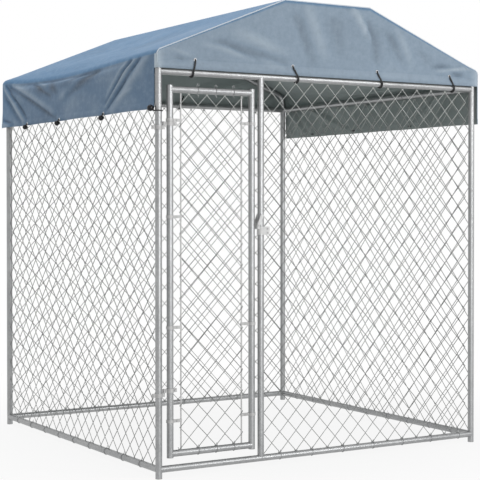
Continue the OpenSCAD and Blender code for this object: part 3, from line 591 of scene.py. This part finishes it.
def fold_gable(move, face, ripple, x, z, top):
    """Creases and hem of a gable, kept off the tubes behind it; gives its painted shade and highlight by fold, a
    paler hem band, and a painted highlight where it turns round the posts.
    """
    fold = crease_height(GABLE_CREASES, -face * x, z) + ripple
    inset = HALF - abs(x)
    # Inward folds stop where a tube lies behind the sheet, outward ones at the rim
    clear = smooth_step(0.038, 0.085, top - z) * smooth_step(0.036, 0.065, inset)
    clear *= smooth_step(1.932, 1.962, z)
    rim = smooth_step(0.0, 0.015, top - z) * smooth_step(0.0, 0.02, inset)
    calm = 0.25 + 0.75 * smooth_step(1.93, 1.975, z)
    fold = 0.7 * (max(fold, 0.0) * rim + min(fold, 0.0) * clear) * calm
    tied = min(math.hypot(-face * x - e, z - EYELET_Z) for e in EYELETS_X)
    fold *= smooth_step(0.010, 0.050, tied)
    band = hem_band(top)
    hem = 1 - smooth_step(GABLE_HEM + 0.945 * band, GABLE_HEM + 0.995 * band, z)
    move.y += face * (fold + HEM_STEP * hem)
    # Painted highlight where the sheet turns round a post
    turned = 1 - smooth_step(0.010, 0.036, inset)
    return fold / (0.010 if fold > 0 else 0.022) + 0.25 * hem + 1.1 * turned


def shape_sheet(verts, lines, layers):
    """Moves the plain sheet into its sags and folds, and marks where it gets painted sheen, painted shade, and
    painted shade and highlight by its folds.
    """
    cols = len(lines[0]) - 1
    last = len(lines) - 1
    for (i, j, k), v in verts.items():
        x, y, z = v.co
        side = -1 if x < 0 else 1
        roof = j == 0
        wall = i in (0, cols)
        gable = k in (0, last) and not roof and not wall
        _, top, slack = lines[k][i]
        ripple = ripple_at(x, y, z)
        move = Vector((0, 0, 0))
        mark = 0.0
        if roof:
            mark = sag_roof(move, ripple, y, slack)
        if roof or wall:
            pull_eaves(move, side, x, y, z)
        if wall:
            mark = fold_valance(move, side, ripple, y, z)
        if gable:
            mark = fold_gable(move, -1 if k == 0 else 1, ripple, x, z, top)
        move.x += corner_flare(x, y, z)
        v.co += move
        # The gable's stitched edge is turned round the corner, over the end of the valance
        returned = wall and -side * y < VALANCE_BACK - 0.001 - HALF and z > GABLE_HEM - 0.001
        # Painted sheen on the gables and the turned strip; painted shade on the valances, less towards the rear;
        # painted highlights on the turned strip's two ridges, elsewhere painted shade and highlight by fold height
        v[layers["painted_sheen"]] = 1.0 if gable or returned else 0.0
        v[layers["shade"]] = 1.0 - 0.5 * smooth_step(0.72, 0.95, y) if wall and not returned else 0.0
        v[layers["painted_fold_light"]] = 2.1 + 0.3 * math.sin(900 * y) if returned else mark


def canopy_mesh():
    """One sheet: roof, two gables and two side valances, all on shared vertices."""
    depth = depth_stations()
    last = len(depth) - 1
    lines = [roof_profile(SHEET_OUT - edge_drop(y)) for y in depth]
    cols = len(lines[0]) - 1
    full = lines[last // 2]
    arc = [0.0]
    for a, b in zip(full, full[1:]):
        arc.append(arc[-1] + math.hypot(b[0] - a[0], b[1] - a[1]))
    bm = bmesh.new()
    uv = bm.loops.layers.uv.new("UVMap")
    layers = {name: bm.verts.layers.float.new(name) for name in ("painted_sheen", "shade", "painted_fold_light")}
    verts = {}

    def vert(i, j, k):
        if (i, j, k) not in verts:
            x, z, _ = lines[k][i]
            verts[i, j, k] = bm.verts.new((x, depth[k], canopy_rows(z)[j]))
        return verts[i, j, k]

    def quad(corners, axes):
        face = bm.faces.new([vert(*c) for c in corners])
        face.smooth = True
        for loop, (i, _, _) in zip(face.loops, corners):
            place = loop.vert.co
            loop[uv].uv = (arc[i], place.y) if axes is None else (place[axes[0]], place[axes[1]])

    for i in range(cols):
        for k in range(last):
            quad([(i, 0, k), (i + 1, 0, k), (i + 1, 0, k + 1), (i, 0, k + 1)], None)
        for j in range(GABLE_ROWS):
            quad([(i, j, 0), (i, j + 1, 0), (i + 1, j + 1, 0), (i + 1, j, 0)], (0, 2))
            quad([(i, j, last), (i + 1, j, last), (i + 1, j + 1, last), (i, j + 1, last)], (0, 2))
    for j in range(len(canopy_rows(EAVE)) - 1):
        for k in range(last):
            if j < GABLE_ROWS or k >= BACK_LINE:
                quad([(0, j, k), (0, j, k + 1), (0, j + 1, k + 1), (0, j + 1, k)], (1, 2))
            if j < GABLE_ROWS or k < last - BACK_LINE:
                quad([(cols, j, k), (cols, j + 1, k), (cols, j + 1, k + 1), (cols, j, k + 1)], (1, 2))
    shape_sheet(verts, lines, layers)
    bm.normal_update()
    mesh = bpy.data.meshes.new("canopy_sheet")
    bm.to_mesh(mesh)
    bm.free()
    return mesh


canopy = add_piece("canopy_sheet", canopy_mesh(), tarp_outside, "frame")
canopy.data.materials.append(tarp_inside)
thick = canopy.modifiers.new("thickness", "SOLIDIFY")
thick.thickness = SHEET_THICK
thick.offset = -1
thick.material_offset = 1
thick.material_offset_rim = 0
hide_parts("canopy")


# Elastic cords, balls and eyelets

CORD_R = 0.0043
CORD_LEANS = [-0.0085, 0.034, 0.034, 0.034]
SIDE_CORD_R = 0.0028
CORNER_CORD_Z = 1.7270
CORNER_RING = TUBE_R + 0.0034
BALL_R = 0.0138
CORNER_BALL_R = 0.0155
NECK_R = 0.0062
BALL_X = 0.9850
LEFT_BALLS_Z = [1.7385, 1.7215, 1.7240, 1.7250]
RIGHT_BALL_Z = 1.7400
HEM_EYELET_X = HALF + 0.0026
HEM_EYELET_Z = 1.7440
GABLE_RING = 0.0062
HEM_RING = 0.0065
RING_WIRE_R = 0.0020
PIPING_R = 0.0032


def smooth_run(points, steps=5, closed=False):
    """A run of points on a smooth line through the given ones."""
    points = [Vector(p) for p in points]
    count = len(points)
    run = []
    for s in range(count if closed else count - 1):
        if closed:
            a, b, c, d = (points[(s + n) % count] for n in (-1, 0, 1, 2))
        else:
            a, b, c, d = (points[min(count - 1, max(0, s + n))] for n in (-1, 0, 1, 2))
        for n in range(steps):
            t = n / steps
            run.append(0.5 * (2 * b + (c - a) * t + (2 * a - 5 * b + 4 * c - d) * t ** 2
                              + (3 * b - a - 3 * c + d) * t ** 3))
    return run if closed else run + [points[-1]]


def gable_ties():
    """A tie from each eyelet down the front of the gable, under the rail and up behind it."""
    loop = TUBE_R + CORD_R + 0.0006
    half_turn = [math.radians(a) for a in range(0, 181, 30)]
    runs = []
    for x, lean in zip(EYELETS_X, CORD_LEANS):
        route = [(0.0, -0.0135, EYELET_RISE + 0.001), (0.0, -0.0205, EYELET_RISE + 0.002),
                 (0.02 * lean, -0.0240, EYELET_RISE - 0.007), (0.35 * lean, -0.0242, 0.034),
                 (0.75 * lean, -0.0228, 0.014)]
        route += [(lean, -loop * math.cos(a), -loop * math.sin(a)) for a in half_turn]
        route += [(0.85 * lean, 0.0150, 0.018), (0.3 * lean, -0.0060, 0.044),
                  (0.0, -0.0128, EYELET_RISE - 0.003)]
        runs.append([p + Vector((x, 0, TOP_RAIL)) for p in smooth_run(route)])
    return runs


for word, turn, y in (("front", 0, -POST), ("rear", 180, POST)):
    runs = placed(gable_ties(), turn, (0, y, 0))
    ties = add_piece("gable_ties_" + word, wire_curve("gable_ties_" + word, runs, CORD_R, 2), braid_black,
                     "frame")
    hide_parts("gable_cords_" + word)


def ball_places(side):
    """Ball centres: four at the left hem, the first at the corner post, and three higher up at the right hem."""
    if side > 0:
        return [Vector((BALL_X, y, RIGHT_BALL_Z)) for y in BALLS_Y[1:]]
    outs = [CORNER_BALL_R - BALL_R, 0.0, 0.0, 0.0]
    return [Vector((-BALL_X - out, y, z)) for out, y, z in zip(outs, BALLS_Y, LEFT_BALLS_Z)]


def hem_eyelets(side):
    """Centres of the hem's eyelets: over the left balls, and straight behind the right ones."""
    balls = ball_places(side)[-3:]
    return [Vector((side * HEM_EYELET_X, ball.y, HEM_EYELET_Z if side < 0 else ball.z)) for ball in balls]


def corner_tie():
    """The loop round the left front post, its ends led under the hem and up to the corner ball."""
    ball = ball_places(-1)[0]
    z = CORNER_CORD_Z
    angles = [math.radians(a) for a in range(50, 341, 29)]
    post = [(-POST - CORNER_RING * math.cos(a), -POST + CORNER_RING * math.sin(a), z) for a in angles]
    start = [(ball.x + 0.0060, ball.y + 0.004, ball.z - 0.002), (-0.9700, ball.y + 0.0045, z + 0.001)]
    end = [(-0.9715, ball.y - 0.0065, z + 0.001), (ball.x + 0.0060, ball.y - 0.002, ball.z - 0.002)]
    return smooth_run(start + post + end, 4, True)


def side_ties(side):
    """Loops from the balls through the hem's eyelets to a wire of the mesh, and the left corner's loop."""
    runs = [corner_tie()] if side < 0 else []
    for ball, hole in zip(ball_places(side)[-3:], hem_eyelets(side)):
        # One half of the loop: ball, eyelet, behind the hem, and beside the wire
        half_loop = [(BALL_X - 0.006, 0.0020, ball.z + 0.45 * (hole.z - ball.z)),
                     (HEM_EYELET_X + 0.003, 0.0029, hole.z), (0.9640, 0.0030, hole.z), (0.9545, 0.0040, hole.z)]
        loop = [(x, -y, z) for x, y, z in half_loop] + [(0.9535, 0.0, hole.z)] + half_loop[::-1]
        runs.append(smooth_run([(side * x, ball.y + y, z) for x, y, z in loop], 4, True))
    return runs


def ball_mesh(name, side):
    """Moulded balls, each with a seam and a ring round the hole that the cord goes into."""
    bm = bmesh.new()
    for number, centre in enumerate(ball_places(side)):
        radius = CORNER_BALL_R if number == 0 and side < 0 else BALL_R
        place = Matrix.Translation(centre)
        neck = Matrix.Translation(centre - Vector((side * (radius - 0.001), 0, 0)))
        neck = neck @ Matrix.Rotation(math.pi / 2, 4, "Y")
        bmesh.ops.create_uvsphere(bm, u_segments=28, v_segments=18, radius=radius, matrix=place)
        for matrix, ring_r, height, sides in ((neck, NECK_R, 0.004, 20), (place, radius + 0.0002, 0.0006, 40)):
            bmesh.ops.create_cone(bm, segments=sides, radius1=ring_r, radius2=ring_r, depth=height,
                                  cap_ends=True, matrix=matrix)
    for face in bm.faces:
        face.smooth = True
    mesh = bpy.data.meshes.new(name)
    bm.to_mesh(mesh)
    bm.free()
    return mesh


for side, word in ((-1, "left"), (1, "right")):
    cord = wire_curve("side_ties_" + word, side_ties(side), SIDE_CORD_R, 2, closed=True)
    ties = add_piece("side_ties_" + word, cord, braid_black, "frame")
    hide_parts("side_cords_" + word)
    balls = add_piece("tie_balls_" + word, ball_mesh("tie_balls_" + word, side), ball_black,
                      "frame")
    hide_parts("cord_balls_" + word)


def ring_offsets(radius):
    """Twenty places round an eyelet, as distances across and up."""
    angles = [math.radians(18 * n) for n in range(20)]
    return [(radius * math.cos(a), radius * math.sin(a)) for a in angles]


eyelet_runs = []
for turn, y in ((0, -POST), (180, POST)):
    rings = [[Vector((x + a, -SHEET_OUT - HEM_STEP, EYELET_Z + b)) for a, b in ring_offsets(GABLE_RING)]
             for x in EYELETS_X]
    eyelet_runs += placed(rings, turn, (0, y, 0))
eyelet_runs += [[centre + Vector((0, a, b)) for a, b in ring_offsets(HEM_RING)]
                for centre in hem_eyelets(-1) + hem_eyelets(1)]
eyelets = add_piece("eyelet_rings", wire_curve("eyelet_rings", eyelet_runs, RING_WIRE_R, 2, closed=True),
                    eyelet_metal, "frame")
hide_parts("canopy_eyelets")

# A bead along each gable's sloping edge, in a pale tone that paints its highlight
piping_runs = [[Vector((x + corner_flare(x, y, z), y, z)) for x, z, _ in roof_profile(SHEET_OUT - 0.0026)]
               for y in (-HALF + 0.0024, HALF - 0.0024)]
add_piece("gable_piping", wire_curve("gable_piping", piping_runs, PIPING_R, 2), piping_highlight_tone, "frame")


# Tie wires

TIE_R = 0.0013
TIE_SPREAD = 0.0035
GATE_TIES_X = (-0.7395, -0.6411, -0.5427)
GATE_TIE_HOOK = 0.011
# Way from a low tie to the high one beside it; then each wall's turn, first place, step and count of ties
PEAK_SHIFT = 0.0475
TIE_ROWS = ((0, -0.2776, 0.1898, 7), (180, -0.79, 0.1954, 9), (-90, -0.79, 0.1954, 9), (90, -0.79, 0.1954, 9))
ALONG = Vector((1, 0, 0))
UP = Vector((0, 0, 1))


def rail_tie(x, z, up, hook=0.0):
    """A tie bent round a rail of the front, its twisted end standing up by the given height."""
    at = Vector((x, -POST, z))
    ring = TUBE_R + TIE_R
    side = ALONG.cross(up)
    turns = []
    for degrees in range(-90, 300, 30):
        a = math.radians(degrees)
        round_tube = (side * math.cos(a) + up * math.sin(a)) * ring
        turns.append(at + ALONG * TIE_SPREAD * (degrees - 270) / 270 + round_tube)
    ends = [at + up * -(ring + 0.013) + ALONG * 0.004, at + up * -(ring + 0.005) + ALONG * 0.002]
    runs = [smooth_run(ends + turns, 2)]
    if hook:
        top = at + up * ring
        bends = [(-0.004, hook), (0.003, hook + 0.003), (0.007, hook - 0.003), (0.003, hook - 0.006)]
        runs.append(smooth_run([top - ALONG * 0.006] + [top + ALONG * a + up * b for a, b in bends], 3))
    return runs


def frame_ties():
    """Ties at the low rails of all walls, and at the top rails of all but the front."""
    runs = []
    for turn, first, step, count in TIE_ROWS:
        for n in range(count):
            x = first + step * n
            ties = rail_tie(x, LOW_RAIL, -UP)
            if turn != 0:
                ties += rail_tie(x + PEAK_SHIFT, TOP_RAIL, UP)
            runs += placed(ties, turn, (0, 0, 0))
    return runs


gate_tie_runs = []
for x in GATE_TIES_X:
    gate_tie_runs += rail_tie(x, GATE_TOP, UP, GATE_TIE_HOOK) + rail_tie(x, GATE_LOW, -UP)
add_piece("tie_wires_frame", wire_curve("tie_wires_frame", frame_ties(), TIE_R), galvanised, "frame")
add_piece("tie_wires_gate", wire_curve("tie_wires_gate", gate_tie_runs, TIE_R), galvanised, "gate")


# Finishes of the rigid pieces

FINISHES = {"galvanised_tube": galvanised, "mesh_wire": wire_finish, "zinc_hardware": bright_zinc,
            "eyelet_metal": eyelet_metal, "elastic_cord": braid_black, "ball_plastic": ball_black}
LATCH_NODES = ("latch_fork", "latch_clamp")
for part in frame["record"]["subparts"]:
    shown = frame["nodes"][part["node"]]
    if part["material_slot"] in FINISHES:
        shown.data.materials.clear()
        # The latch gets the paler zinc, whose painted light lifts its shaded faces
        latch = part["node"] in LATCH_NODES
        shown.data.materials.append(latch_zinc_painted_light if latch else FINISHES[part["material_slot"]])


# Studio

def seen_rays(tree):
    """1 for rays from the camera, from gloss and through glass."""
    path = tree.nodes.new("ShaderNodeLightPath")
    seen = path.outputs["Is Camera Ray"]
    for ray in ("Is Glossy Ray", "Is Transmission Ray"):
        seen = math_node(tree, "MAXIMUM", seen, path.outputs[ray])
    return seen


def floor_finish():
    """Pale and dull, but white to the camera, with the white fading out under the run."""
    pale = bpy.data.materials.new("pale_floor")
    pale.use_nodes = True
    tree = pale.node_tree
    shader = tree.nodes["Principled BSDF"]
    shader.inputs["Base Color"].default_value = (0.86, 0.86, 0.86, 1)
    shader.inputs["Roughness"].default_value = 0.9
    set_specular(pale, 0.0)
    white = tree.nodes.new("ShaderNodeEmission")
    place = tree.nodes.new("ShaderNodeTexCoord")
    reach = tree.nodes.new("ShaderNodeVectorMath")
    reach.operation = "LENGTH"
    tree.links.new(place.outputs["Object"], reach.inputs[0])
    spread = ramp_node(tree, reach.outputs["Value"], 0.9, 3.2, 0.88, 1.0)
    spread.node.interpolation_type = "SMOOTHSTEP"
    both = tree.nodes.new("ShaderNodeMixShader")
    tree.links.new(math_node(tree, "MULTIPLY", spread, seen_rays(tree)), both.inputs["Fac"])
    tree.links.new(shader.outputs["BSDF"], both.inputs[1])
    tree.links.new(white.outputs["Emission"], both.inputs[2])
    tree.links.new(both.outputs["Shader"], tree.nodes["Material Output"].inputs["Surface"])
    return pale


def lit_floor():
    """A wide disc under the run, which takes its soft shadow."""
    bm = bmesh.new()
    bmesh.ops.create_circle(bm, cap_ends=True, segments=64, radius=30)
    mesh = bpy.data.meshes.new("floor")
    bm.to_mesh(mesh)
    bm.free()
    floor = bpy.data.objects.new("floor", mesh)
    bpy.context.scene.collection.objects.link(floor)
    mesh.materials.append(floor_finish())


def soft_lamp(name, place, target, width, height, watts):
    """A rectangular lamp that looks at its target."""
    lamp = bpy.data.lights.new(name, "AREA")
    lamp.shape = "RECTANGLE"
    lamp.size = width
    lamp.size_y = height
    lamp.energy = watts
    obj = bpy.data.objects.new(name, lamp)
    obj.location = place
    obj.rotation_euler = (Vector(target) - Vector(place)).to_track_quat("-Z", "Y").to_euler()
    bpy.context.scene.collection.objects.link(obj)
    return obj


def white_world():
    """White to the camera, and half as bright as a light."""
    world = bpy.data.worlds.new("studio")
    bpy.context.scene.world = world
    world.use_nodes = True
    tree = world.node_tree
    back = tree.nodes["Background"]
    level = ramp_node(tree, seen_rays(tree), 0.0, 1.0, 0.50, 1.0)
    tree.links.new(level, back.inputs["Strength"])
    back.inputs["Color"].default_value = (1, 1, 1, 1)


def photo_camera():
    """The camera fitted to the photo."""
    camera = bpy.data.cameras.new("camera")
    camera.sensor_width = 36
    camera.lens = 101.97
    camera.shift_x = -0.0667
    camera.shift_y = -0.0292
    camera.clip_end = 100
    obj = bpy.data.objects.new("camera", camera)
    obj.location = (-3.8764, -6.623, 1.281)
    obj.rotation_euler = (math.radians(89.154), 0, math.radians(-32.06))
    bpy.context.scene.collection.objects.link(obj)
    bpy.context.scene.camera = obj


bpy.context.scene.view_settings.view_transform = "Standard"
white_world()
lit_floor()
soft_lamp("top", (-0.6, 0.3, 7.5), (0, 0, 2.0), width=4.0, height=4.0, watts=125)
soft_lamp("front_right", (3.6, -6.6, 2.6), (0, 0, 1.2), width=0.9, height=3.4, watts=110)
stripe = soft_lamp("stripe", (-0.6, -7.4, 1.9), (-0.6, 0, 1.2), width=0.5, height=4.6, watts=162)
stripe.visible_diffuse = False
photo_camera()
